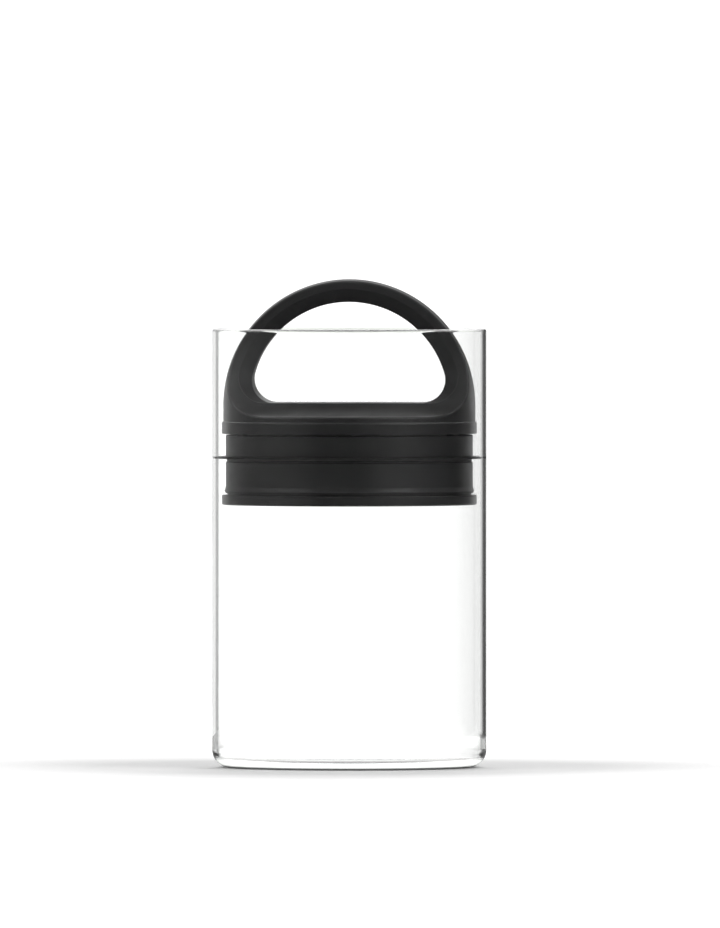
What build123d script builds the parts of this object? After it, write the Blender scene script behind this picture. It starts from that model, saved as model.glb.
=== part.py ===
from build123d import *
import math
import os

# Vacuum seal canister: a straight glass jar with a piston lid that is pushed down onto the food.
# Millimetres, +Z up, origin at the centre of the jar's resting face. The lid stands part way down.

# Driving dimensions
jar_radius = 38.0
jar_height = 121.5
glass_wall = 1.6
lid_rest_height = 72.8
base_flange_height = 2.7
lower_shell_height = 9.4
gasket_seat_height = 1.0
upper_shell_height = 6.25
cover_flange_height = 3.4
shell_wall = 1.8
handle_travel = 3.5
check_valve_travel = 1.0

# Clearances
overrun = 1.0
slide_gap = 0.3
running_gap = 0.05
thread_gap = 0.04
stop_gap = 0.1
wiper_gap = 0.1
vent_gap = 0.3
flange_glass_gap = 1.1
cover_glass_gap = 1.5
drum_glass_gap = 2.2

# Heights of the stacked lid parts
base_under = lid_rest_height
base_top = base_under + base_flange_height
lower_top = base_top + lower_shell_height
upper_bottom = lower_top + gasket_seat_height
drum_top = upper_bottom + upper_shell_height
cover_under = drum_top + vent_gap
flange_top = cover_under + cover_flange_height

# Radii of the lid's round parts, from the glass inwards
jar_bore = jar_radius - glass_wall
flange_radius = jar_bore - flange_glass_gap
cover_radius = jar_bore - cover_glass_gap
drum_radius = jar_bore - drum_glass_gap
drum_bore = drum_radius - shell_wall
cup_fit_gap = 0.5
cup_radius = drum_bore - cup_fit_gap
cup_bore = cup_radius - shell_wall
skirt_wall = 1.8
skirt_radius = cup_bore - slide_gap
skirt_bore = skirt_radius - skirt_wall

# The deck that closes the drum, and the well at its centre that holds the lift valve
deck_rise = 7.0
deck_thickness = 2.0
deck_top = base_top + deck_rise
deck_under = deck_top - deck_thickness
well_radius = 9.0
well_rise = 2.3
well_floor_thickness = 1.8
well_top = base_top + well_rise
well_under = well_top - well_floor_thickness
port_radius = 5.0
seat_width = 1.2
seat_height = 0.8
seat_top = well_top + seat_height

# Screw sizes: shank radius, head radius, head height
shell_screw = (1.5, 2.6, 1.4)
housing_screw = (1.1, 2.1, 1.2)
carrier_screw = (1.2, 2.3, 1.4)
poppet_screw = (1.1, 2.9, 1.3)
pilot_spare_depth = 0.5
boss_wall = 1.5
boss_end_wall = 1.0
clearance_hole_gap = 0.25


def disc(radius, low, high):
    """Upright cylinder between two heights."""
    return Pos(0, 0, low) * Cylinder(radius, high - low, align=(Align.CENTER, Align.CENTER, Align.MIN))


def tube(bore, radius, low, high):
    """Upright hollow cylinder between two heights."""
    return disc(radius, low, high) - disc(bore, low - overrun, high + overrun)


def turned(corners):
    """Solid turned about Z from (radius, height, rounding) corners."""
    outline = make_face(Polyline(*[(radius, height) for radius, height, rounding in corners], close=True))
    for radius, height, rounding in corners:
        if rounding > 0:
            corner = outline.vertices().sort_by_distance((radius, height, 0))[0]
            outline = fillet(corner, rounding)
    return revolve(Plane.XZ * outline, Axis.Z)


def block(low, high):
    """Box between two opposite corners."""
    size = [b - a for a, b in zip(low, high)]
    return Pos(*low) * Box(*size, align=(Align.MIN, Align.MIN, Align.MIN))


def around(count, radius, start=0):
    """Places at equal turns about Z."""
    return [Rot(0, 0, start + turn * 360 / count) * Pos(radius, 0, 0) for turn in range(count)]


def screw(size, length, seat):
    """Cross-head screw standing on its head, with the head's bearing face at height seat."""
    shank_radius, head_radius, head_height = size
    tip_height = shank_radius
    recess_depth = head_height / 2
    recess_width = head_radius / 3
    shank = disc(shank_radius, seat - recess_depth / 2, seat + length - tip_height)
    tip = Pos(0, 0, seat + length - tip_height) * Cone(
        shank_radius, shank_radius / 3, tip_height, align=(Align.CENTER, Align.CENTER, Align.MIN)
    )
    head = turned([
        (0, seat - head_height, 0),
        (head_radius, seat - head_height, head_height / 2),
        (head_radius, seat, 0),
        (0, seat, 0),
    ])
    body = head + shank + tip
    reach = head_radius * 2 / 3
    for across in (reach, recess_width / 2):
        along = reach + recess_width / 2 - across
        body -= block(
            (-across, -along, seat - head_height - overrun),
            (across, along, seat - head_height + recess_depth),
        )
    return body


# Glass jar: blown glass with a rounded heel, a full round rim and a shallow push-up in its base
glass_floor = 2.2
heel_radius = 5.0
inner_heel_radius = 1.8
foot_ring_width = 7.0
push_up_depth = 0.4
push_up_radius = jar_radius - heel_radius - foot_ring_width
push_up_slope = 6.0
rim_round_share = 0.98


def make_glass_jar():
    rim_rounding = rim_round_share * glass_wall / 2
    return turned([
        (0, push_up_depth, 0),
        (push_up_radius - push_up_slope, push_up_depth, push_up_slope),
        (push_up_radius, 0, push_up_slope),
        (jar_radius, 0, heel_radius),
        (jar_radius, jar_height, rim_rounding),
        (jar_bore, jar_height, rim_rounding),
        (jar_bore, glass_floor, inner_heel_radius),
        (0, glass_floor, 0),
    ])


# Where the pieces on the deck stand: the shell screws' bosses pass inside the carrier's skirt, and the
# valve housing's lugs stand between them
boss_skirt_gap = 0.3
shell_boss_radius = shell_screw[0] + boss_wall
shell_screw_circle = skirt_bore - boss_skirt_gap - shell_boss_radius
shell_screw_length = 9.0
shell_screw_count = 4
shell_screw_start_angle = 45
housing_step = 0.6
housing_wall = 1.6
housing_bore = well_radius + housing_step
housing_radius = housing_bore + housing_wall
lug_head_gap = 0.6
lug_wall = 0.5
lug_radius = housing_screw[1] + lug_wall
housing_screw_circle = housing_radius + lug_head_gap + housing_screw[1]
housing_screw_length = 5.0
housing_screw_count = 3
housing_screw_start_angle = 90
housing_foot_height = 1.6
cage_bore = 4.7
cage_wall = 0.7
cage_housing_gap = 0.6
check_valve_place = housing_radius + cage_housing_gap + cage_wall + cage_bore

# Check valve seat on the deck
check_seat_radius = 3.2
check_seat_width = 0.7
check_seat_height = 0.5
check_hole_radius = 0.7
check_hole_circle = 1.9
check_hole_count = 6
cage_ear_reach = 6.2
cage_pin_radius = 0.9

# Lower shell: the drum's lower half, screwed up into the deck's bosses, which clamps the gasket
groove_height = 0.5
groove_depth = 0.4
foot_flare = 0.35
foot_edge_height = 0.7
foot_flare_height = 1.1
shell_edge_break = 0.4
screw_land = 0.6
inner_flange_radius = shell_screw_circle - shell_screw[1] - screw_land
inner_flange_thickness = 2.0
inner_flange_gap = 0.5
inner_flange_under = deck_under - inner_flange_gap - inner_flange_thickness

# Gasket tongue, which locks into a groove in the lower shell's top edge
tongue_width = 0.6
tongue_depth = 0.8
tongue_radius = drum_bore + shell_wall / 2


def make_lower_shell():
    groove_top = base_top + groove_height
    foot_edge = groove_top + foot_edge_height
    flange_top_face = inner_flange_under + inner_flange_thickness
    shell = turned([
        (drum_bore, base_top, 0),
        (drum_radius - groove_depth, base_top, 0),
        (drum_radius - groove_depth, groove_top, 0),
        (drum_radius, groove_top, 0),
        (drum_radius + foot_flare, foot_edge, 0),
        (drum_radius, foot_edge + foot_flare_height, foot_flare_height),
        (drum_radius, lower_top - shell_edge_break, 0),
        (drum_radius - shell_edge_break, lower_top, 0),
        (drum_bore, lower_top, 0),
    ])
    shell += tube(inner_flange_radius, drum_bore + shell_wall / 2, inner_flange_under, flange_top_face)
    shell -= tube(
        tongue_radius - tongue_width / 2 - running_gap,
        tongue_radius + tongue_width / 2 + running_gap,
        lower_top - tongue_depth - stop_gap,
        lower_top + overrun,
    )
    hole = disc(shell_screw[0] + clearance_hole_gap, inner_flange_under - overrun, flange_top_face + overrun)
    for place in around(shell_screw_count, shell_screw_circle, shell_screw_start_angle):
        shell -= place * hole
    return shell


# Upper shell: the drum's upper half, moulded in one with the inner cup, the deck and the valve well
upper_edge_break = 0.45
pad_width = 4.0
pad_count = 6
pad_start_angle = 30
drum_rim_rounding = 0.3


def make_upper_shell():
    web_top = upper_bottom + shell_wall
    shell = turned([
        (cup_bore, deck_under, 0),
        (cup_radius, deck_under, 0),
        (cup_radius, upper_bottom, 0),
        (drum_radius - upper_edge_break, upper_bottom, 0),
        (drum_radius, upper_bottom + upper_edge_break, 0),
        (drum_radius, drum_top, drum_rim_rounding),
        (drum_bore, drum_top, 0),
        (drum_bore, web_top, 0),
        (cup_bore, web_top, 0),
    ])
    shell += disc(cup_radius - shell_wall / 2, deck_under, deck_top)
    shell += disc(well_radius + shell_wall, well_under, deck_top)
    shell -= disc(well_radius, well_top, deck_top + overrun)
    shell += disc(port_radius + seat_width, well_under, seat_top)
    shell -= disc(port_radius, well_under - overrun, seat_top + overrun)
    pad_reach = drum_radius - drum_rim_rounding
    pad = block((drum_bore, -pad_width / 2, web_top), (pad_reach, pad_width / 2, cover_under))
    pad = pad & tube(drum_bore, pad_reach, web_top, cover_under + overrun)
    for place in around(pad_count, 0, pad_start_angle):
        shell += place * pad

    pilot_end = inner_flange_under + shell_screw_length + pilot_spare_depth
    boss = disc(shell_boss_radius, deck_under, pilot_end + boss_end_wall)
    pilot = disc(shell_screw[0] + thread_gap, deck_under - overrun, pilot_end)
    for place in around(shell_screw_count, shell_screw_circle, shell_screw_start_angle):
        shell += place * boss
        shell -= place * pilot

    pilot_end = deck_top + housing_foot_height - housing_screw_length - pilot_spare_depth
    boss = disc(housing_screw[0] + boss_wall, pilot_end - boss_end_wall, deck_top)
    pilot = disc(housing_screw[0] + thread_gap, pilot_end, deck_top + overrun)
    for place in around(housing_screw_count, housing_screw_circle, housing_screw_start_angle):
        shell += place * boss
        shell -= place * pilot

    valve = Pos(0, -check_valve_place, 0)
    shell += valve * tube(
        check_seat_radius, check_seat_radius + check_seat_width, deck_top - deck_thickness / 2,
        deck_top + check_seat_height,
    )
    air_hole = disc(check_hole_radius, deck_under - overrun, deck_top + overrun)
    for place in around(check_hole_count, check_hole_circle):
        shell -= valve * place * air_hole
    pin_hole = disc(cage_pin_radius + running_gap, deck_under - overrun, deck_top + overrun)
    for side in (-1, 1):
        shell -= Pos(side * cage_ear_reach, -check_valve_place, 0) * pin_hole
    return shell


# Wiper gasket: one silicone ring clamped between the shells, with a thin lip turned up at the glass
lip_step = 0.05
lip_thickness = 0.55
lip_tip_thickness = 0.4
lip_rise = 0.35
lip_rounding = 0.15
gasket_ring_inset = 0.3


def make_wiper_gasket():
    ring_radius = drum_radius - gasket_ring_inset
    lip_radius = jar_bore - wiper_gap
    lip_high = upper_bottom - lip_step
    lip_low = lip_high - lip_thickness
    gasket = turned([
        (cup_radius + running_gap, lower_top, 0),
        (ring_radius, lower_top, 0),
        (ring_radius, lip_low, 0),
        (lip_radius, lip_low + lip_rise, lip_rounding),
        (lip_radius, lip_low + lip_rise + lip_tip_thickness, lip_rounding),
        (ring_radius, lip_high, 0),
        (ring_radius, upper_bottom, 0),
        (cup_radius + running_gap, upper_bottom, 0),
    ])
    return gasket + tube(
        tongue_radius - tongue_width / 2, tongue_radius + tongue_width / 2, lower_top - tongue_depth,
        lower_top + gasket_seat_height / 2,
    )


# Base plate: the lid's underside, snapped into the lower shell, with slots that let the air through
plate_thickness = 1.8
spigot_wall = 1.6
snap_bead = 0.25
snap_bead_height = 0.8
base_rounding = 0.45
slot_count = 12
slot_start_angle = 15
slot_inner = 8.5
slot_length = 9.0
slot_width = 1.8


def make_base_plate():
    spigot_radius = drum_bore - slide_gap
    spigot_bore = spigot_radius - spigot_wall
    spigot_top = inner_flange_under - slide_gap
    bead_middle = (base_top + spigot_top) / 2
    plate = turned([
        (0, base_under, 0),
        (flange_radius, base_under, base_rounding),
        (flange_radius, base_top, base_rounding / 2),
        (spigot_radius, base_top, 0),
        (spigot_radius, bead_middle - snap_bead_height / 2, 0),
        (spigot_radius + snap_bead, bead_middle, 0),
        (spigot_radius, bead_middle + snap_bead_height / 2, 0),
        (spigot_radius, spigot_top, 0),
        (spigot_bore, spigot_top, 0),
        (spigot_bore, base_under + plate_thickness, 0),
        (0, base_under + plate_thickness, 0),
    ])
    slot = Pos(slot_inner + slot_length / 2, 0, base_under - overrun) * extrude(
        SlotOverall(slot_length, slot_width), plate_thickness + 2 * overrun
    )
    for place in around(slot_count, 0, slot_start_angle):
        plate -= place * slot
    return plate


def make_shell_screws():
    one = screw(shell_screw, shell_screw_length, inner_flange_under)
    return [place * one for place in around(shell_screw_count, shell_screw_circle, shell_screw_start_angle)]


# Valve housing: a cap over the well that guides the stem and holds the spring down
housing_roof = 1.7
housing_head_gap = 0.55
housing_window_count = 6
housing_window_width = 5.0
housing_window_height = 3.6
housing_top = cover_under - housing_head_gap
housing_roof_under = housing_top - housing_roof

# Stem and bush
stem_radius = 2.0
neck_step = 0.4
neck_radius = stem_radius - neck_step
bush_wall = 1.35
bush_flange_radius = 4.8
bush_flange_height = 1.0
bush_bore = stem_radius + running_gap
bush_radius = bush_bore + bush_wall
bush_under = housing_roof_under - bush_flange_height


def make_valve_housing():
    foot_top = deck_top + housing_foot_height
    housing = disc(housing_radius, deck_top, housing_top)
    lug = disc(lug_radius, deck_top, foot_top)
    lug += block((-(housing_screw_circle - housing_bore), -lug_radius, deck_top), (0, lug_radius, foot_top))
    for place in around(housing_screw_count, housing_screw_circle, housing_screw_start_angle):
        housing += place * lug
    housing -= disc(housing_bore, deck_top - overrun, housing_roof_under)
    housing -= disc(bush_radius + running_gap, housing_roof_under - overrun, housing_top + overrun)
    hole = disc(housing_screw[0] + clearance_hole_gap, deck_top - overrun, foot_top + overrun)
    for place in around(housing_screw_count, housing_screw_circle, housing_screw_start_angle):
        housing -= place * hole
    window = block(
        (housing_bore - overrun, -housing_window_width / 2, foot_top),
        (housing_radius + overrun, housing_window_width / 2, foot_top + housing_window_height),
    )
    for place in around(housing_window_count, 0):
        housing -= place * window
    return housing


def make_housing_screws():
    upright = screw(housing_screw, housing_screw_length, 0)
    one = Pos(0, 0, deck_top + housing_foot_height) * Rot(180, 0, 0) * upright
    places = around(housing_screw_count, housing_screw_circle, housing_screw_start_angle)
    return [place * one for place in places]


def make_stem_bush():
    bush = disc(bush_flange_radius, bush_under, housing_roof_under)
    bush += disc(bush_radius, bush_under, housing_top)
    return bush - disc(bush_bore, bush_under - overrun, housing_top + overrun)


# Check valve cage: a slotted cap pressed onto the deck over the floating disc
cage_roof = 1.0
cage_ear_radius = 1.8
cage_ear_height = 1.2
cage_window_width = 4.0
disc_thickness = 0.8
disc_seat = deck_top + check_seat_height
cage_roof_under = disc_seat + disc_thickness + check_valve_travel + stop_gap
cage_vent_radius = 1.2


def make_check_valve_cage():
    cage = disc(cage_bore + cage_wall, deck_top, cage_roof_under + cage_roof)
    for side in (-1, 1):
        ear = Pos(side * cage_ear_reach, 0, 0)
        cage += ear * disc(cage_ear_radius, deck_top, deck_top + cage_ear_height)
        cage += ear * disc(cage_pin_radius, deck_under, deck_top + cage_ear_height)
    cage -= disc(cage_bore, deck_top - overrun, cage_roof_under)
    cage -= disc(cage_vent_radius, cage_roof_under - overrun, cage_roof_under + cage_roof + overrun)
    for turn in (0, 1):
        cage -= Rot(0, 0, 45 + 90 * turn) * block(
            (-cage_bore - cage_wall - overrun, -cage_window_width / 2, deck_top + check_seat_height),
            (cage_bore + cage_wall + overrun, cage_window_width / 2, cage_roof_under),
        )
    return Pos(0, -check_valve_place, 0) * cage


def make_check_valve_disc():
    float_radius = cage_bore - slide_gap
    rounding = disc_thickness / 4
    return Pos(0, -check_valve_place, 0) * turned([
        (0, disc_seat, 0),
        (float_radius, disc_seat, rounding),
        (float_radius, disc_seat + disc_thickness, rounding),
        (0, disc_seat + disc_thickness, 0),
    ])


# Poppet: the lift valve's plate and hub, with a silicone seal screwed under it
poppet_side_gap = 1.0
poppet_plate_radius = well_radius - poppet_side_gap
poppet_plate_height = 1.8
seal_inset = 0.6
seal_radius = poppet_plate_radius - seal_inset
seal_thickness = 1.2
poppet_web = 0.8
hub_radius = 3.4
seal_top = seat_top + seal_thickness
poppet_top = seal_top + poppet_plate_height
hub_top = bush_under - handle_travel - stop_gap


def make_poppet_seal():
    return tube(poppet_screw[0] + thread_gap, seal_radius, seat_top, seal_top)


def make_poppet():
    poppet = disc(poppet_plate_radius, seal_top, poppet_top) + disc(hub_radius, seal_top, hub_top)
    poppet -= disc(stem_radius + running_gap, seal_top + poppet_web, hub_top + overrun)
    return poppet - disc(poppet_screw[0] + thread_gap, seal_top - overrun, hub_top)


poppet_screw_length = 6.0


def make_poppet_screw():
    return screw(poppet_screw, poppet_screw_length, seat_top)


# Return spring: stainless wire between the housing's roof and the poppet, outside the hub
spring_radius = 6.6
wire_radius = 0.45
spring_half_turns = 9
spring_end_gap = 0.05


def make_return_spring():
    low = poppet_top + wire_radius + spring_end_gap
    high = housing_roof_under - wire_radius - spring_end_gap
    rise = (high - low) / spring_half_turns
    arcs = []
    for half in range(spring_half_turns):
        side = 1 if half % 2 == 0 else -1
        start = low + half * rise
        arcs.append(ThreePointArc(
            (side * spring_radius, 0, start),
            (0, side * spring_radius, start + rise / 2),
            (-side * spring_radius, 0, start + rise),
        ))
    path = Wire(arcs)
    print("spring: least gap between turns", round(2 * rise - 2 * wire_radius, 2))
    section = Plane(origin=path.position_at(0), z_dir=path.tangent_at(0)) * Circle(wire_radius)
    return sweep(section, path=path)


# Handle cover: a ball-topped cylinder scooped away front and back to leave one upright arch
ball_rise = 4.45
slab_half_thickness = 6.1
ledge_width = 8.0
scoop_radius = cover_radius - ledge_width - slab_half_thickness
ledge_rise = 1.55
arch_edge_rounding = 0.5
flange_rounding = 0.5
loop_rim = 7.4
loop_radius = cover_radius - loop_rim
loop_centre_rise = 5.55
loop_floor_rise = 5.2
loop_corner_radius = 6.35
bevel_width = 3.65
bevel_depth = 2.0
bevel_corner_radius = 7.3
cavity_roof_thickness = 2.0
pocket_radius = 8.0
ball_centre = flange_top + ball_rise
ball_top = ball_centre + cover_radius
ledge_top = flange_top + ledge_rise
scoop_centre = ledge_top + scoop_radius
loop_centre = flange_top + loop_centre_rise
loop_floor = flange_top + loop_floor_rise
cavity_radius = drum_bore
cavity_top = ledge_top - cavity_roof_thickness

# Carrier plate: closes the cover from below, guides it in the cup and carries the stem
carrier_thickness = 1.8
skirt_end_gap = 1.5
skirt_notch_width = 12.0
skirt_notch_count = 4
skirt_root = 2.4
carrier_top = cover_under + carrier_thickness
carrier_screw_inset = 5.5
carrier_screw_x = skirt_bore - carrier_screw_inset
carrier_screw_y = 8.0
carrier_screw_length = 6.5
carrier_places = [Pos(x * carrier_screw_x, y * carrier_screw_y, 0) for x in (-1, 1) for y in (-1, 1)]

# Washer and nut on the stem's neck, and the pocket in the cover that clears them
washer_radius = 3.6
washer_thickness = 0.5
nut_flats = 5.5
nut_height = 2.4
neck_spare = 0.6
washer_top = carrier_top + washer_thickness
nut_top = washer_top + nut_height
neck_top = nut_top + neck_spare
pocket_end_gap = 0.9
pocket_top = neck_top + pocket_end_gap


def loop_outline(arc_radius, corner_radius):
    """Outline of the hand hole: flat floor, two round corners and one big arc over them."""
    corner_height = loop_floor + corner_radius
    corner_lift = corner_height - loop_centre
    corner_reach = math.sqrt((arc_radius - corner_radius) ** 2 - corner_lift ** 2)
    slope = math.atan2(corner_lift, corner_reach)
    middle = (slope - math.pi / 2) / 2

    def on_corner(angle, side):
        return (
            side * (corner_reach + corner_radius * math.cos(angle)),
            corner_height + corner_radius * math.sin(angle),
        )

    lines = Curve() + [
        Line((-corner_reach, loop_floor), (corner_reach, loop_floor)),
        ThreePointArc((corner_reach, loop_floor), on_corner(middle, 1), on_corner(slope, 1)),
        ThreePointArc(on_corner(slope, 1), (0, loop_centre + arc_radius), on_corner(slope, -1)),
        ThreePointArc(on_corner(slope, -1), on_corner(middle, -1), (-corner_reach, loop_floor)),
    ]
    return make_face(lines)


def front_scoop():
    """The space scooped away on one side: upright wall, quarter-round foot and flat ledge."""
    reach = cover_radius + overrun
    above = ball_top + overrun
    foot = slab_half_thickness + scoop_radius
    bend = scoop_radius * math.cos(math.pi / 4)
    lines = Curve() + [
        Line((slab_half_thickness, above), (slab_half_thickness, scoop_centre)),
        ThreePointArc(
            (slab_half_thickness, scoop_centre),
            (foot - bend, scoop_centre - bend),
            (foot, ledge_top),
        ),
        Line((foot, ledge_top), (reach + scoop_radius, ledge_top)),
        Line((reach + scoop_radius, ledge_top), (reach + scoop_radius, above)),
        Line((reach + scoop_radius, above), (slab_half_thickness, above)),
    ]
    return extrude(Plane.YZ * make_face(lines), reach, both=True)


def make_handle_cover():
    shoulder = cover_radius * math.cos(math.pi / 4)
    dome = Curve() + [
        Line((0, cover_under), (cover_radius, cover_under)),
        Line((cover_radius, cover_under), (cover_radius, ball_centre)),
        ThreePointArc((cover_radius, ball_centre), (shoulder, ball_centre + shoulder), (0, ball_top)),
        Line((0, ball_top), (0, cover_under)),
    ]
    ball = revolve(Plane.XZ * make_face(dome), Axis.Z)
    scoop = front_scoop()
    scoops = scoop + mirror(scoop, Plane.XZ)
    arch = ball - scoops
    arch_edges = [edge for edge in new_edges(ball, scoops, combined=arch) if edge.geom_type != GeomType.LINE]
    arch = fillet(arch_edges, arch_edge_rounding)

    # The bevel is cut all round the hole, then everything outside its own tapering outline is put back
    reach = cover_radius + overrun
    hole = extrude(Plane.XZ * loop_outline(loop_radius, loop_corner_radius), reach, both=True)
    bevel_prism = extrude(
        Plane.XZ * loop_outline(loop_radius + bevel_width, bevel_corner_radius), reach, both=True
    )
    pierced = arch - hole
    bevelled = chamfer(new_edges(arch, hole, combined=pierced), bevel_width, bevel_depth)
    cover = bevelled + (pierced - bevel_prism)

    cover += turned([
        (0, cover_under, 0),
        (flange_radius, cover_under, flange_rounding / 2),
        (flange_radius, flange_top, flange_rounding),
        (0, flange_top, 0),
    ])
    cover -= disc(cavity_radius, cover_under - overrun, cavity_top)
    cover -= disc(pocket_radius, cavity_top - overrun, pocket_top)
    pilot_end = cover_under + carrier_screw_length + pilot_spare_depth
    boss = disc(carrier_screw[0] + boss_wall, carrier_top, cavity_top + cavity_roof_thickness / 2)
    pilot = disc(carrier_screw[0] + thread_gap, carrier_top - overrun, pilot_end)
    for place in carrier_places:
        cover += place * boss
        cover -= place * pilot
    return cover


def make_carrier_plate():
    skirt_bottom = deck_top + skirt_end_gap
    plate = disc(cavity_radius - slide_gap, cover_under, carrier_top)
    plate += tube(skirt_bore, skirt_radius, skirt_bottom, cover_under + carrier_thickness / 2)
    notch = block(
        (skirt_bore - overrun, -skirt_notch_width / 2, skirt_bottom - overrun),
        (skirt_radius + overrun, skirt_notch_width / 2, cover_under - skirt_root),
    )
    for place in around(skirt_notch_count, 0):
        plate -= place * notch
    plate -= disc(neck_radius + running_gap, cover_under - overrun, carrier_top + overrun)
    hole = disc(carrier_screw[0] + clearance_hole_gap, cover_under - overrun, carrier_top + overrun)
    for place in carrier_places:
        plate -= place * hole
    return plate


def make_carrier_screws():
    one = screw(carrier_screw, carrier_screw_length, cover_under)
    return [place * one for place in carrier_places]


# Valve stem with its washer and nut
nut_rounding = 0.3
stem_tip_break = 0.3


def make_valve_stem():
    stem_low = seal_top + poppet_web
    stem = turned([
        (0, stem_low, 0),
        (stem_radius, stem_low, 0),
        (stem_radius, cover_under, 0),
        (neck_radius, cover_under, 0),
        (neck_radius, neck_top - stem_tip_break, 0),
        (neck_radius - stem_tip_break, neck_top, 0),
        (0, neck_top, 0),
    ])
    pilot_end = seat_top + poppet_screw_length + stop_gap
    return stem - disc(poppet_screw[0] + thread_gap, stem_low - overrun, pilot_end)


def make_stem_washer():
    return tube(neck_radius + running_gap, washer_radius, carrier_top, washer_top)


def make_stem_nut():
    hexagon = RegularPolygon(nut_flats / 2, 6, major_radius=False)
    nut = Pos(0, 0, washer_top) * extrude(hexagon, nut_height)
    nut &= turned([
        (0, washer_top, 0),
        (nut_flats / math.sqrt(3), washer_top, nut_rounding),
        (nut_flats / math.sqrt(3), nut_top, nut_rounding),
        (0, nut_top, 0),
    ])
    return nut - disc(neck_radius + running_gap, washer_top - overrun, nut_top + overrun)


pieces = {
    "glass_jar": make_glass_jar(),
    "upper_shell": make_upper_shell(),
    "lower_shell": make_lower_shell(),
    "wiper_gasket": make_wiper_gasket(),
    "base_plate": make_base_plate(),
    "shell_screws": Compound(make_shell_screws()),
    "valve_housing": make_valve_housing(),
    "housing_screws": Compound(make_housing_screws()),
    "stem_bush": make_stem_bush(),
    "return_spring": make_return_spring(),
    "check_valve_cage": make_check_valve_cage(),
    "check_valve_disc": make_check_valve_disc(),
    "handle_cover": make_handle_cover(),
    "carrier_plate": make_carrier_plate(),
    "carrier_screws": Compound(make_carrier_screws()),
    "valve_stem": make_valve_stem(),
    "stem_washer": make_stem_washer(),
    "stem_nut": make_stem_nut(),
    "poppet": make_poppet(),
    "poppet_seal": make_poppet_seal(),
    "poppet_screw": make_poppet_screw(),
}

os.makedirs("parts", exist_ok=True)
for name, piece in pieces.items():
    export_step(piece, f"parts/{name}.step")
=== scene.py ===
import bmesh
import bpy
import math
from mathutils import Matrix, Vector


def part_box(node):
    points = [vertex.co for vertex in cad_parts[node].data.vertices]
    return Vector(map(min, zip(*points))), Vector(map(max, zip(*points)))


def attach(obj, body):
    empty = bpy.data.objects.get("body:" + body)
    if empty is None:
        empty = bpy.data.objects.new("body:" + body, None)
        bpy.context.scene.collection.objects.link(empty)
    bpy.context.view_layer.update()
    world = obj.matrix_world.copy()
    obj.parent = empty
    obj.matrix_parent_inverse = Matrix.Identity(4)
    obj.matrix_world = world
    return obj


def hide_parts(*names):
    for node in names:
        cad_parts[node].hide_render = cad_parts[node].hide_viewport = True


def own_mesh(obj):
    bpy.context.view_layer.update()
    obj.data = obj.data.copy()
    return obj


# Vacuum seal canister: a straight glass jar with a black piston lid part way down inside it.
# Everything is in metres in the CAD frame, +Z up, with the jar standing on z = 0.
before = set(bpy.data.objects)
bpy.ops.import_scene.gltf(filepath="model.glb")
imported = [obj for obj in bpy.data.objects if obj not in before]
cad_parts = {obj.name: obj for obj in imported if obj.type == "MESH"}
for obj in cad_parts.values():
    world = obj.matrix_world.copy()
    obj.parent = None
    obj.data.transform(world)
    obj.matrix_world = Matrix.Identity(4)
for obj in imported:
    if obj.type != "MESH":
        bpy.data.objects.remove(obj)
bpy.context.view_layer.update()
mm = 0.001

# Glass jar
# One straight jar of clear soda-lime glass, blown in a mould: rounded heel, shallow push-up under the base
# and a fire-polished rim. It stands on the table and everything else stands in it. Its rim and the lowest
# millimetre of its heel are marked for painted shade: a grey tint on the rim and a painted contact shadow on
# the heel make both look darker than the walls.
jar_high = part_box("glass_jar")[1]
jar_radius = jar_high.x
jar_height = jar_high.z
glass_wall = 1.6 * mm
glass_floor = 2.2 * mm
jar_bore = jar_radius - glass_wall
heel_rounding = 5.0 * mm
inner_heel_rounding = 1.8 * mm
push_up_depth = 0.4 * mm
push_up_radius = 26.0 * mm
push_up_slope = 6.0 * mm
rim_rounding = 0.78 * mm
glass_turns = 256
glass_rounding_steps = 14
on_axis = 0.01 * mm
run_hold = 0.2 * mm
long_run = 4 * run_hold
glass_tint = (1.0, 1.0, 1.0, 1.0)
# Painted shade: the rim's grey tint darkens the rim, and the foot's near-black tint is a painted contact
# shadow on the heel that fades in over its lowest millimetre.
rim_painted_shade = (0.5, 0.52, 0.49, 1.0)
foot_painted_shadow = (0.004, 0.004, 0.004, 1.0)
foot_shadow_top = 1.15 * mm
foot_shadow_fade = 0.6 * mm
glass_body_colour = (0.3, 0.42, 0.28, 1.0)
glass_body_density = 14.0
glass_index = 1.48
haze_size = 30 * mm
haze_roughness = 0.012
wave_size = 22 * mm
wave_depth = 0.02 * mm
noise_low = 0.3
noise_high = 0.7


def rounded(corners, steps):
    """Outline through (radius, height, rounding) corners, with each rounding as an arc."""
    points = []
    for number, (radius, height, rounding) in enumerate(corners):
        here = Vector((radius, height))
        if rounding == 0:
            points.append(here)
            continue
        back = (Vector(corners[number - 1][:2]) - here).normalized()
        ahead = (Vector(corners[(number + 1) % len(corners)][:2]) - here).normalized()
        half = back.angle(ahead) / 2
        centre = here + (back + ahead).normalized() * rounding / math.sin(half)
        start = here + back * rounding / math.tan(half) - centre
        end = here + ahead * rounding / math.tan(half) - centre
        turn = start.angle_signed(end)
        for step in range(steps + 1):
            points.append(centre + Matrix.Rotation(-turn * step / steps, 2) @ start)
    return points


def held(points):
    """The outline with a point just inside each end of its long runs, so that their faces shade true."""
    line = points[:1]
    for start, end in zip(points, points[1:]):
        run = end - start
        if run.length > long_run:
            line += [start + run.normalized() * run_hold, end - run.normalized() * run_hold]
        line.append(end)
    return line


def put_in_scene(name, data):
    """Object that holds a mesh, a lamp or a camera."""
    item = bpy.data.objects.new(name, data)
    bpy.context.scene.collection.objects.link(item)
    return item


def smooth_piece(name, shape):
    """Smooth mesh piece from a finished shape."""
    bmesh.ops.recalc_face_normals(shape, faces=shape.faces)
    mesh = bpy.data.meshes.new(name)
    shape.to_mesh(mesh)
    shape.free()
    mesh.shade_smooth()
    return put_in_scene(name, mesh)


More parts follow.
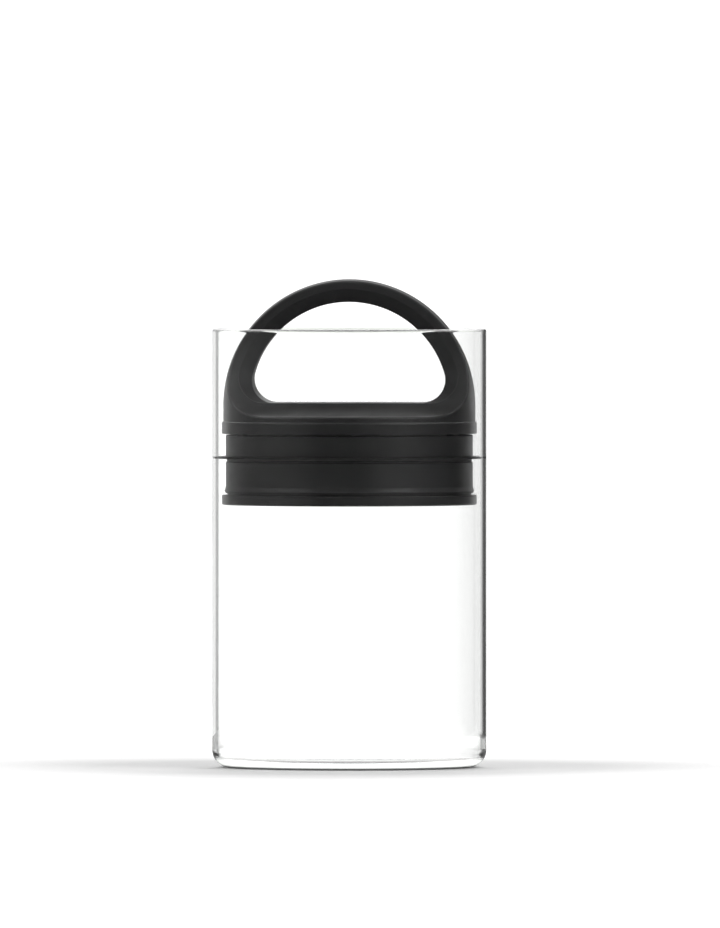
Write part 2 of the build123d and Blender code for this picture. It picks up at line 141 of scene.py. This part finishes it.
def turned(name, outline):
    """Smooth mesh piece turned about Z from an outline: on the axis at both ends, or a ring's section."""
    shape = bmesh.new()
    rings = []
    for point in outline:
        if point.x < on_axis:
            rings.append([shape.verts.new((0, 0, point.y))] * glass_turns)
            continue
        rings.append([
            shape.verts.new((
                point.x * math.cos(2 * math.pi * turn / glass_turns),
                point.x * math.sin(2 * math.pi * turn / glass_turns),
                point.y,
            ))
            for turn in range(glass_turns)
        ])
    if outline[0].x > on_axis:
        rings.append(rings[0])
    for lower, upper in zip(rings, rings[1:]):
        for turn in range(glass_turns):
            after = (turn + 1) % glass_turns
            corners = [lower[turn], lower[after], upper[after], upper[turn]]
            shape.faces.new(list(dict.fromkeys(corners)))
    return smooth_piece(name, shape)


def new_finish(name):
    """Material with its Principled shader and its node tree."""
    finish = bpy.data.materials.new(name)
    finish.use_nodes = True
    return finish, finish.node_tree.nodes["Principled BSDF"], finish.node_tree


def feed(tree, socket, value):
    """Gives a socket its value, from another socket or as a fixed number or colour."""
    if isinstance(value, bpy.types.NodeSocket):
        tree.links.new(value, socket)
    else:
        socket.default_value = value


def grain(tree, grain_size, detail, stretch=(1, 1, 1)):
    """Noise in the object's own space with features about grain_size across. Returns its value socket."""
    place = tree.nodes.new("ShaderNodeTexCoord")
    mapping = tree.nodes.new("ShaderNodeMapping")
    mapping.inputs["Scale"].default_value = stretch
    noise = tree.nodes.new("ShaderNodeTexNoise")
    noise.inputs["Scale"].default_value = 1 / grain_size
    noise.inputs["Detail"].default_value = detail
    tree.links.new(place.outputs["Object"], mapping.inputs["Vector"])
    tree.links.new(mapping.outputs["Vector"], noise.inputs["Vector"])
    return noise.outputs["Fac"]


def ranged(tree, value, from_low, from_high, to_low=0.0, to_high=1.0):
    """Value moved from one range to another, and held at its ends."""
    mover = tree.nodes.new("ShaderNodeMapRange")
    mover.inputs["From Min"].default_value = from_low
    mover.inputs["From Max"].default_value = from_high
    mover.inputs["To Min"].default_value = to_low
    mover.inputs["To Max"].default_value = to_high
    tree.links.new(value, mover.inputs["Value"])
    return mover.outputs["Result"]


def raise_surface(tree, shader, value, depth, under=None):
    """Bumps the surface by depth where the value is high, over the normal under it if one is given."""
    bump = tree.nodes.new("ShaderNodeBump")
    bump.inputs["Distance"].default_value = depth
    tree.links.new(value, bump.inputs["Height"])
    if under:
        tree.links.new(under, bump.inputs["Normal"])
    tree.links.new(bump.outputs["Normal"], shader.inputs["Normal"])


def zone(tree, name):
    """Share of a marked zone of the mesh at each point."""
    mark = tree.nodes.new("ShaderNodeAttribute")
    mark.attribute_name = name
    return mark.outputs["Fac"]


def mixed(tree, share, first, second):
    """The first colour where share is 0 and the second where it is 1."""
    mix = tree.nodes.new("ShaderNodeMix")
    mix.data_type = "RGBA"
    tree.links.new(share, mix.inputs["Factor"])
    sockets = [socket for socket in mix.inputs if socket.type == "RGBA"]
    for socket, colour in zip(sockets, (first, second)):
        feed(tree, socket, colour)
    return next(socket for socket in mix.outputs if socket.type == "RGBA")


def choose(tree, share, first, second):
    """The first number where share is 0 and the second where it is 1."""
    mix = tree.nodes.new("ShaderNodeMix")
    tree.links.new(share, mix.inputs["Factor"])
    feed(tree, mix.inputs["A"], first)
    feed(tree, mix.inputs["B"], second)
    return mix.outputs["Result"]


def blown_glass(name):
    """Clear glass with a slight green body, a faint haze and a wavy skin, with painted shade at the rim and a
    painted contact shadow at the foot.
    """
    finish, shader, tree = new_finish(name)
    colour = mixed(tree, zone(tree, "rim"), glass_tint, rim_painted_shade)
    colour = mixed(tree, zone(tree, "foot"), colour, foot_painted_shadow)
    tree.links.new(colour, shader.inputs["Base Color"])
    shader.inputs["Transmission Weight"].default_value = 1.0
    shader.inputs["IOR"].default_value = glass_index
    haze = ranged(tree, grain(tree, haze_size, detail=2), noise_low, noise_high, 0.0, haze_roughness)
    tree.links.new(choose(tree, zone(tree, "rim"), haze, 0.0), shader.inputs["Roughness"])
    raise_surface(tree, shader, grain(tree, wave_size, detail=1), wave_depth)
    body = tree.nodes.new("ShaderNodeVolumeAbsorption")
    body.inputs["Color"].default_value = glass_body_colour
    body.inputs["Density"].default_value = glass_body_density
    tree.links.new(body.outputs["Volume"], tree.nodes["Material Output"].inputs["Volume"])
    return finish


jar = turned("blown_jar", held(rounded([
    (0, push_up_depth, 0),
    (push_up_radius - push_up_slope, push_up_depth, push_up_slope),
    (push_up_radius, 0, push_up_slope),
    (jar_radius, 0, heel_rounding),
    (jar_radius, jar_height, rim_rounding),
    (jar_bore, jar_height, rim_rounding),
    (jar_bore, glass_floor, inner_heel_rounding),
    (0, glass_floor, 0),
], glass_rounding_steps)))
# The rim zone masks the rim's painted shade (and its roughness of 0); the foot zone masks the painted contact
# shadow on the heel.
rim_zone = jar.data.attributes.new("rim", "FLOAT", "POINT")
foot_shadow_zone = jar.data.attributes.new("foot", "FLOAT", "POINT")
for number, point in enumerate(jar.data.vertices):
    rim_zone.data[number].value = point.co.z > jar_height - rim_rounding
    if point.co.xy.length > jar_radius - heel_rounding:
        foot_shadow_zone.data[number].value = min(1, max(0, (foot_shadow_top - point.co.z) / foot_shadow_fade))
jar.data.materials.append(blown_glass("clear_glass"))
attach(jar, "jar")
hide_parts("glass_jar")

# Base plate
# The lid's underside, moulded in black ABS with a fine spark-eroded skin. Its spigot snaps into the lower
# shell, and twelve slots let the air through to the valves.
satin_black = (0.0165, 0.0165, 0.0172, 1.0)
satin_black_worn = (0.021, 0.021, 0.0215, 1.0)
# Painted highlight: the black plastic's paler tone laid along every sharp edge.
satin_edge_highlight = (0.09, 0.09, 0.092, 1.0)
satin_roughness = 0.4
satin_grain = 0.3 * mm
satin_grain_depth = 0.0008 * mm
plastic_edge = 0.25 * mm
edge_samples = 6
edge_match = 0.8
plastic_cloud_size = 9 * mm
plastic_patch_size = 6 * mm
rubbed_smoother = 0.04
rubbed_duller = 0.05
tone_low = 0.35
tone_high = 0.65


def toned(tree, value, stops):
    """Colour by a value from 0 to 1, through (value, colour) stops."""
    ramp = tree.nodes.new("ShaderNodeValToRGB")
    marks = ramp.color_ramp.elements
    while len(marks) < len(stops):
        marks.new(1.0)
    for mark, (position, colour) in zip(marks, stops):
        mark.position = position
        mark.color = colour
    tree.links.new(value, ramp.inputs["Fac"])
    return ramp.outputs["Color"]


def clouded(tree, cloud_size, dark, light, detail):
    """Colour that drifts between two tones in clouds of a size."""
    return toned(tree, grain(tree, cloud_size, detail), [(tone_low, dark), (tone_high, light)])


def broken_edges(tree, radius):
    """Normal as if every sharp edge were broken by a small radius, and the share of an edge at each point."""
    broken = tree.nodes.new("ShaderNodeBevel")
    broken.samples = edge_samples
    broken.inputs["Radius"].default_value = radius
    face = tree.nodes.new("ShaderNodeNewGeometry")
    match = tree.nodes.new("ShaderNodeVectorMath")
    match.operation = "DOT_PRODUCT"
    tree.links.new(broken.outputs["Normal"], match.inputs[0])
    tree.links.new(face.outputs["Normal"], match.inputs[1])
    return broken.outputs["Normal"], ranged(tree, match.outputs["Value"], 1.0, edge_match)


def moulded_plastic(name, dark, light, edge_highlight_tone, roughness, skin, skin_depth):
    """Injection-moulded plastic: a fine skin from the tool, rubbed and duller patches, and edges painted
    paler as a highlight.
    """
    finish, shader, tree = new_finish(name)
    normal, edges = broken_edges(tree, plastic_edge)
    clouds = clouded(tree, plastic_cloud_size, dark, light, detail=3)
    # Painted highlight: the edge tone is mixed in along every sharp edge.
    tree.links.new(mixed(tree, edges, clouds, edge_highlight_tone), shader.inputs["Base Color"])
    patches = ranged(
        tree, grain(tree, plastic_patch_size, detail=4), noise_low, noise_high,
        roughness - rubbed_smoother, roughness + rubbed_duller
    )
    tree.links.new(patches, shader.inputs["Roughness"])
    raise_surface(tree, shader, grain(tree, skin, detail=2), skin_depth, normal)
    return finish


def dress(node, finish):
    """Gives a CAD node its finish."""
    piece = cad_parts[node]
    piece.data.materials.clear()
    piece.data.materials.append(finish)


black_plastic = moulded_plastic(
    "black_plastic", satin_black, satin_black_worn, satin_edge_highlight, satin_roughness, satin_grain,
    satin_grain_depth
)
dress("base_plate", black_plastic)

# Lower shell
# The lower half of the drum, black ABS. Four screws pull its inner flange up to the deck, which clamps the
# gasket, and the groove over the base plate shows as a dark line.
dress("lower_shell", black_plastic)

# Shell screws
# Four self-tapping screws of stainless steel, driven from below through the lower shell's flange into the
# deck's bosses. Their heads are turned and lightly polished.
steel_dark = (0.52, 0.51, 0.49, 1.0)
steel_light = (0.66, 0.65, 0.63, 1.0)
steel_cloud_size = 2 * mm
steel_polished = 0.06
steel_dulled = 0.1
mark_depth = 0.004 * mm
mark_stretch = (1, 1, 12)
screw_mark = 1.2 * mm
screw_roughness = 0.3


def turned_steel(name, mark_size, roughness):
    """Stainless steel with the marks of turning or drawing, and cloudier spots."""
    finish, shader, tree = new_finish(name)
    shader.inputs["Metallic"].default_value = 1.0
    clouds = clouded(tree, steel_cloud_size, steel_dark, steel_light, detail=4)
    tree.links.new(clouds, shader.inputs["Base Color"])
    marks = grain(tree, mark_size, detail=3, stretch=mark_stretch)
    polish = ranged(tree, marks, noise_low, noise_high, roughness - steel_polished, roughness + steel_dulled)
    tree.links.new(polish, shader.inputs["Roughness"])
    raise_surface(tree, shader, marks, mark_depth)
    return finish


screw_steel = turned_steel("screw_steel", screw_mark, screw_roughness)
dress("shell_screws", screw_steel)

# Wiper gasket
# One ring of black silicone, clamped between the shells by its tongue. Its lip turns up at the glass and
# wets it all round, so through the glass it shows out to the jar's very edge.
silicone_black = (0.011, 0.011, 0.0115, 1.0)
silicone_dusty = (0.022, 0.022, 0.0215, 1.0)
silicone_roughness = 0.58
bloom_size = 1.5 * mm
bloom_patch_size = 4 * mm
bloom_change = 0.06
bloom_sheen = 0.06
silicone_skin = 0.5 * mm
silicone_skin_depth = 0.008 * mm
gasket_low, gasket_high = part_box("wiper_gasket")
tongue_depth = 0.8 * mm
tongue_width = 0.6 * mm
tongue_radius = 33.3 * mm
tongue_inside = tongue_radius - tongue_width / 2
tongue_outside = tongue_radius + tongue_width / 2
clamp_bore = 31.95 * mm
clamp_radius = 33.9 * mm
clamp_under = gasket_low.z + tongue_depth
lip_step = 0.05 * mm
lip_thickness = 0.55 * mm
lip_tip = 0.6 * mm
lip_rise = 0.15 * mm
lip_rounding = 0.08 * mm
lip_rounding_steps = 4
lip_pressed = 0.03 * mm
lip_radius = jar_bore + lip_pressed
lip_top = gasket_high.z - lip_step
lip_under = lip_top - lip_thickness


def soft_silicone(name, dark, light, roughness):
    """Moulded silicone rubber: dull, with a powdery bloom and a faint orange-peel skin."""
    finish, shader, tree = new_finish(name)
    tree.links.new(clouded(tree, bloom_size, dark, light, detail=5), shader.inputs["Base Color"])
    patches = ranged(
        tree, grain(tree, bloom_patch_size, detail=4), noise_low, noise_high,
        roughness - bloom_change, roughness + bloom_change
    )
    tree.links.new(patches, shader.inputs["Roughness"])
    raise_surface(tree, shader, grain(tree, silicone_skin, detail=2), silicone_skin_depth)
    shader.inputs["Sheen Weight"].default_value = bloom_sheen
    return finish


gasket = turned("wiper_ring", rounded([
    (clamp_bore, clamp_under, 0),
    (tongue_inside, clamp_under, 0),
    (tongue_inside, gasket_low.z, lip_rounding),
    (tongue_outside, gasket_low.z, lip_rounding),
    (tongue_outside, clamp_under, 0),
    (clamp_radius, clamp_under, lip_rounding),
    (clamp_radius, lip_under, 0),
    (lip_radius, lip_under + lip_rise, lip_rounding),
    (lip_radius, lip_under + lip_rise + lip_tip, lip_rounding),
    (clamp_radius, lip_top, 0),
    (clamp_radius, gasket_high.z, 0),
    (clamp_bore, gasket_high.z, 0),
], lip_rounding_steps))
gasket.data.materials.append(
    soft_silicone("black_silicone", silicone_black, silicone_dusty, silicone_roughness)
)
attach(gasket, "lid")
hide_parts("wiper_gasket")

# Upper shell
# The upper half of the drum, black ABS, moulded in one with the inner cup, the deck and the well that holds
# the lift valve's seat.
dress("upper_shell", black_plastic)

# Check valve disc
# A loose disc of clear silicone over a ring of air holes. It floats up as the lid goes down and lets the
# air out, and falls back on its seat to hold the vacuum.
silicone_clear = (0.62, 0.62, 0.6, 1.0)
silicone_milky = (0.74, 0.74, 0.72, 1.0)
clear_silicone_roughness = 0.42
clear_silicone = soft_silicone("clear_silicone", silicone_clear, silicone_milky, clear_silicone_roughness)
dress("check_valve_disc", clear_silicone)

# Check valve cage
# A slotted cap moulded in white acetal, held over the disc by two pins that go into the deck. It stops the
# disc's lift and lets the air past.
acetal_shade = (0.74, 0.74, 0.71, 1.0)
acetal_white = (0.83, 0.83, 0.8, 1.0)
# Painted highlight: the acetal's paler tone laid along every sharp edge.
acetal_edge_highlight = (0.87, 0.87, 0.85, 1.0)
acetal_roughness = 0.36
acetal_grain = 0.4 * mm
acetal_grain_depth = 0.002 * mm
white_acetal = moulded_plastic(
    "white_acetal", acetal_shade, acetal_white, acetal_edge_highlight, acetal_roughness, acetal_grain,
    acetal_grain_depth
)
dress("check_valve_cage", white_acetal)

# Poppet, its seal and its screw
# The lift valve: an acetal plate and hub with a silicone face, held to the stem by one pan-head screw. The
# spring keeps the face on the seat until the handle is pulled.
dress("poppet", white_acetal)
dress("poppet_seal", clear_silicone)
dress("poppet_screw", screw_steel)

# Valve stem
# A ground stainless rod from the poppet up to the handle. It slides in the bush, and its threaded neck takes
# the nut.
grinding_mark = 0.5 * mm
ground_roughness = 0.2
ground_steel = turned_steel("ground_steel", grinding_mark, ground_roughness)
dress("valve_stem", ground_steel)

# Return spring
# Stainless spring wire, wound four and a half turns between the housing's roof and the poppet. The roof holds
# its top end, and it closes up as the handle is pulled.
spring_low, spring_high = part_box("return_spring")
wire_radius = 0.45 * mm
coil_radius = (spring_high.y - spring_low.y) / 2 - wire_radius
coil_turns = 4.5
coil_steps = 32
wire_sides = 12
drawing_mark = 0.3 * mm
drawn_roughness = 0.26


def wound(name, low, high):
    """Coil of round wire whose middle line rises from low to high, with flat cut ends."""
    shape = bmesh.new()
    steps = round(coil_turns * coil_steps)
    slope = (high - low) / (2 * math.pi * coil_radius * coil_turns)
    sections = []
    for step in range(steps + 1):
        turn = 2 * math.pi * coil_turns * step / steps
        out = Vector((math.cos(turn), math.sin(turn), 0))
        along = Vector((-math.sin(turn), math.cos(turn), slope)).normalized()
        up = out.cross(along)
        centre = out * coil_radius + Vector((0, 0, low + (high - low) * step / steps))
        sections.append([
            shape.verts.new(centre + (out * math.cos(round_wire) + up * math.sin(round_wire)) * wire_radius)
            for round_wire in [2 * math.pi * side / wire_sides for side in range(wire_sides)]
        ])
    for first, second in zip(sections, sections[1:]):
        for side in range(wire_sides):
            after = (side + 1) % wire_sides
            shape.faces.new([first[side], first[after], second[after], second[side]])
    shape.faces.new(sections[0])
    shape.faces.new(sections[-1])
    return smooth_piece(name, shape)


spring = wound("wound_spring", spring_low.z + wire_radius, spring_high.z - wire_radius)
spring.data.materials.append(turned_steel("spring_wire", drawing_mark, drawn_roughness))
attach(spring, "lid")
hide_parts("return_spring")
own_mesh(spring)

# Valve housing with its screws and the stem bush
# A cap of dark grey plastic over the well, with windows for the air and three screwed lugs. The acetal bush
# in its roof guides the stem.
inner_grey = (0.07, 0.07, 0.073, 1.0)
inner_grey_worn = (0.1, 0.1, 0.104, 1.0)
# Painted highlight: the grey plastic's paler tone laid along every sharp edge.
inner_edge_highlight = (0.15, 0.15, 0.153, 1.0)
inner_roughness = 0.5
inner_grain = 0.35 * mm
inner_grain_depth = 0.002 * mm
inner_plastic = moulded_plastic(
    "inner_plastic", inner_grey, inner_grey_worn, inner_edge_highlight, inner_roughness, inner_grain,
    inner_grain_depth
)
dress("valve_housing", inner_plastic)
dress("housing_screws", screw_steel)
dress("stem_bush", white_acetal)

# Carrier plate with its screws, and the stem's washer and nut
# A grey plastic plate that closes the handle from below. Its skirt slides in the cup, four screws hold it to
# the cover, and the washer and nut fix the stem to it.
dress("carrier_plate", inner_plastic)
dress("carrier_screws", screw_steel)
dress("stem_washer", ground_steel)
dress("stem_nut", ground_steel)

# Handle cover
# The arch handle and the upper flange in one black ABS moulding: a ball-topped cylinder scooped away front
# and back, with a hand hole. Its skin is the shells' own, a little more rubbed by hands.
held_smoother = 0.02
handle_plastic = moulded_plastic(
    "handle_plastic", satin_black, satin_black_worn, satin_edge_highlight, satin_roughness - held_smoother,
    satin_grain, satin_grain_depth
)
dress("handle_cover", handle_plastic)

# Table
# A matt white table that runs on into the backdrop, a hair over z = 0 so that the jar's resting face lies in
# it. Beside the jar it takes the shadow. Under the jar, far off, and as the glass mirrors or guides it, it
# has light of its own, since no lamp light is carried through the glass.
table_size = 640 * mm
table_give = 0.01 * mm
table_white = (0.9, 0.9, 0.9, 1.0)
# Painted shade: the table's darker colour wherever it is seen in gloss.
table_shade_in_gloss = (0.3, 0.3, 0.3, 1.0)
table_lifts = [
    (0, 0.5), (29 * mm, 0.5), (34 * mm, 0.1), (38 * mm, 0.0), (70 * mm, 0.0), (130 * mm, 0.3),
    (300 * mm, 1.1),
]
gloss_lifts = [(0, 0.9), (50 * mm, 0.9), (80 * mm, 0.0), (300 * mm, 0.0)]
guided_lift = 1.8
between_counts = 0.5
count_tolerance = 0.1


def flat_card(name, width, height):
    """Flat sheet that isn't part of the object, facing +Z."""
    shape = bmesh.new()
    bmesh.ops.create_grid(shape, x_segments=1, y_segments=1, size=0.5)
    mesh = bpy.data.meshes.new(name)
    shape.to_mesh(mesh)
    shape.free()
    card = put_in_scene(name, mesh)
    card.scale = (width, height, 1)
    return card


def join(tree, kind, *values):
    """Sum, product or other joint value of sockets and numbers."""
    node = tree.nodes.new("ShaderNodeMath")
    node.operation = kind
    for socket, value in zip(node.inputs, values):
        feed(tree, socket, value)
    return node.outputs[0]


def reached(tree, depth, count):
    """1 for rays whose depth has come to a count, and 0 for others."""
    return join(tree, "GREATER_THAN", depth, count - between_counts)


def seen_ray(tree, path):
    """1 for rays from the eye, in gloss and through glass, and 0 for light that falls on things."""
    in_gloss_or_eye = join(tree, "MAXIMUM", path["Is Camera Ray"], path["Is Glossy Ray"])
    return join(tree, "MAXIMUM", in_gloss_or_eye, path["Is Transmission Ray"])


def grey_tones(tree, value, low, high, stops):
    """Brightness by a value from 0 to 1 that stands for low to high, from (place, brightness) stops."""
    return toned(tree, value, [
        ((place - low) / (high - low), (brightness, brightness, brightness, 1))
        for place, brightness in stops
    ])


def tones_out(tree, stops):
    """Brightness by distance from the middle of the jar's foot, from (distance, brightness) stops."""
    spot = tree.nodes.new("ShaderNodeNewGeometry")
    away = tree.nodes.new("ShaderNodeVectorMath")
    away.operation = "LENGTH"
    tree.links.new(spot.outputs["Position"], away.inputs[0])
    farthest = stops[-1][0]
    share = join(tree, "DIVIDE", away.outputs["Value"], farthest)
    return grey_tones(tree, share, 0, farthest, stops)


def lifted_white(name):
    """Matt white that takes shadows, with light of its own under the jar, far off and by way of glass."""
    finish, shader, tree = new_finish(name)
    path = tree.nodes.new("ShaderNodeLightPath").outputs
    mirrored = reached(tree, path["Glossy Depth"], 1)
    guided = reached(tree, path["Glossy Depth"], 2)
    in_glass = reached(tree, path["Transmission Depth"], 1)
    within_glass = join(tree, "COMPARE", path["Transmission Depth"], 1, count_tolerance)
    in_gloss = join(tree, "MULTIPLY", in_glass, tones_out(tree, gloss_lifts))
    in_gloss = choose(tree, guided, in_gloss, guided_lift)
    lift = choose(tree, mirrored, tones_out(tree, table_lifts), in_gloss)
    lift = choose(tree, within_glass, lift, guided_lift)
    lift = join(tree, "MULTIPLY", seen_ray(tree, path), lift)
    tree.links.new(lift, shader.inputs["Emission Strength"])
    # Painted shade: mirrored rays see the table in its darker colour.
    tree.links.new(mixed(tree, mirrored, table_white, table_shade_in_gloss), shader.inputs["Base Color"])
    shader.inputs["Emission Color"].default_value = (1, 1, 1, 1)
    shader.inputs["Roughness"].default_value = 1.0
    shader.inputs["Specular IOR Level"].default_value = 0.0
    return finish


table = flat_card("table", table_size, table_size)
table.location.z = table_give
table.data.materials.append(lifted_white("table_white"))

# Studio
# Three soft lamps, at the left, the right front and behind, in a white room. In gloss the room is dim ahead
# of the canister and at the far right, and pale behind it. Through the glass it is white, with dark strips
# that mark the jar's edges, and the rim catches a bright line from overhead.
lamp_target = Vector((0, 0, 85 * mm))
lamp_distance = 1300 * mm
room_light = 0.5
room_white = 1.3
glass_white = 2.6
rim_white = 1.3
rim_overhead = 0.3
rim_shine = 4
gloss_overhead = 0.4
open_overhead = 0.7
gloss_floor = 0.35
overhead_from = 0.12
overhead_to = 0.4
floor_from = 0.25
floor_to = 0.08
first_azimuth = -90
last_azimuth = 270
gloss_tones = [
    (-90, 0.18), (-60, 0.2), (-40, 0.14), (-20, 0.05), (8, 0.05), (30, 0.15), (48, 0.2), (64, 0.16),
    (82, 0.09), (100, 0.03), (124, 0.05), (134, 0.35), (143, 0.6), (151, 1.0), (154, 0.8), (158, 0.08),
    (172, 0.1), (177, 0.8), (180, 1.0), (205, 1.0), (207, 0.35), (212, 0.35), (215, 0.7), (228, 0.6),
    (240, 0.2), (270, 0.18),
]
wall_tones = [(180, 0.5), (187, 0.55), (195, 1.0), (206, 1.0), (212, 0.5)]


def turn_to(item, target, azimuth, elevation, distance):
    """Puts an item round a target, facing it. Azimuth 0 is the front, 90 the right and 180 behind."""
    a = math.radians(azimuth)
    e = math.radians(elevation)
    away = Vector((math.sin(a) * math.cos(e), -math.cos(a) * math.cos(e), math.sin(e)))
    item.location = target + away * distance
    item.rotation_euler = away.to_track_quat("Z", "Y").to_euler()


def soft_light(name, width, height, watts, azimuth, elevation):
    """Rectangular soft light aimed at the canister. In gloss, the room's own tones stand for it."""
    lamp = bpy.data.lights.new(name, "AREA")
    lamp.shape = "RECTANGLE"
    lamp.size = width
    lamp.size_y = height
    lamp.energy = watts
    item = put_in_scene(name, lamp)
    item.visible_glossy = False
    turn_to(item, lamp_target, azimuth, elevation, lamp_distance)


def tones_round(tree, stops):
    """Brightness by azimuth, from (azimuth, brightness) stops in order from the left at -90 round to 270."""
    direction = tree.nodes.new("ShaderNodeTexCoord")
    turn = tree.nodes.new("ShaderNodeTexGradient")
    turn.gradient_type = "RADIAL"
    tree.links.new(direction.outputs["Generated"], turn.inputs["Vector"])
    return grey_tones(tree, turn.outputs["Fac"], first_azimuth, last_azimuth, stops)


def heights(tree, low, high):
    """0 for directions under low and 1 over high, as the sine of the elevation."""
    direction = tree.nodes.new("ShaderNodeTexCoord")
    parts = tree.nodes.new("ShaderNodeSeparateXYZ")
    tree.links.new(direction.outputs["Generated"], parts.inputs["Vector"])
    return ranged(tree, parts.outputs["Z"], low, high)


def room_strength(tree):
    """Brightness of the room by direction and by the way that a ray has come."""
    path = tree.nodes.new("ShaderNodeLightPath").outputs
    clear_of_matt = join(tree, "LESS_THAN", path["Diffuse Depth"], between_counts)
    open_air = join(tree, "LESS_THAN", path["Transmission Depth"], between_counts)
    crossed = reached(tree, path["Transmission Depth"], 3)
    mirrored = reached(tree, path["Glossy Depth"], 1)
    guided = reached(tree, path["Glossy Depth"], 2)
    above = heights(tree, overhead_from, overhead_to)
    below = heights(tree, -floor_from, -floor_to)
    open_above = choose(tree, path["Is Singular Ray"], open_overhead, rim_shine)
    overhead = choose(tree, open_air, gloss_overhead, open_above)
    overhead = choose(tree, guided, overhead, guided_lift)
    in_gloss = choose(tree, above, tones_round(tree, gloss_tones), overhead)
    in_gloss = choose(tree, below, choose(tree, guided, gloss_floor, guided_lift), in_gloss)
    in_rim = choose(tree, above, rim_white, rim_overhead)
    walls = join(tree, "MULTIPLY", tones_round(tree, wall_tones), glass_white)
    in_wall = choose(tree, above, walls, rim_overhead)
    level = choose(tree, mirrored, choose(tree, crossed, in_rim, in_wall), in_gloss)
    seen = join(tree, "MULTIPLY", clear_of_matt, seen_ray(tree, path))
    strength = choose(tree, seen, room_light, level)
    return choose(tree, path["Is Camera Ray"], strength, room_white)


soft_light("left_light", 900 * mm, 1100 * mm, watts=4, azimuth=-62, elevation=42)
soft_light("right_light", 600 * mm, 1000 * mm, watts=5, azimuth=50, elevation=42)
soft_light("back_light", 700 * mm, 700 * mm, watts=6, azimuth=178, elevation=38)
world = bpy.data.worlds.new("white_room")
world.use_nodes = True
world.cycles.sampling_method = "NONE"
bpy.context.scene.world = world
room = world.node_tree.nodes["Background"]
room.inputs["Color"].default_value = (1, 1, 1, 1)
world.node_tree.links.new(room_strength(world.node_tree), room.inputs["Strength"])

# Camera
# A long lens, almost level and a hair to the right, so the canister is seen nearly without perspective. It
# aims at a point just right of the axis, at about two thirds of the jar's height.
lens_mm = 1000
sensor_mm = 36
view_height = 256.94 * mm
view_azimuth = 2.0
view_elevation = 0.9
view_target = Vector((2.96 * mm, 0, 84.0 * mm))
camera_data = bpy.data.cameras.new("camera")
camera_data.lens = lens_mm
camera_data.sensor_width = sensor_mm
camera = put_in_scene("camera", camera_data)
turn_to(camera, view_target, view_azimuth, view_elevation, view_height * lens_mm / sensor_mm)
bpy.context.scene.camera = camera
bpy.context.scene.view_settings.view_transform = "Standard"
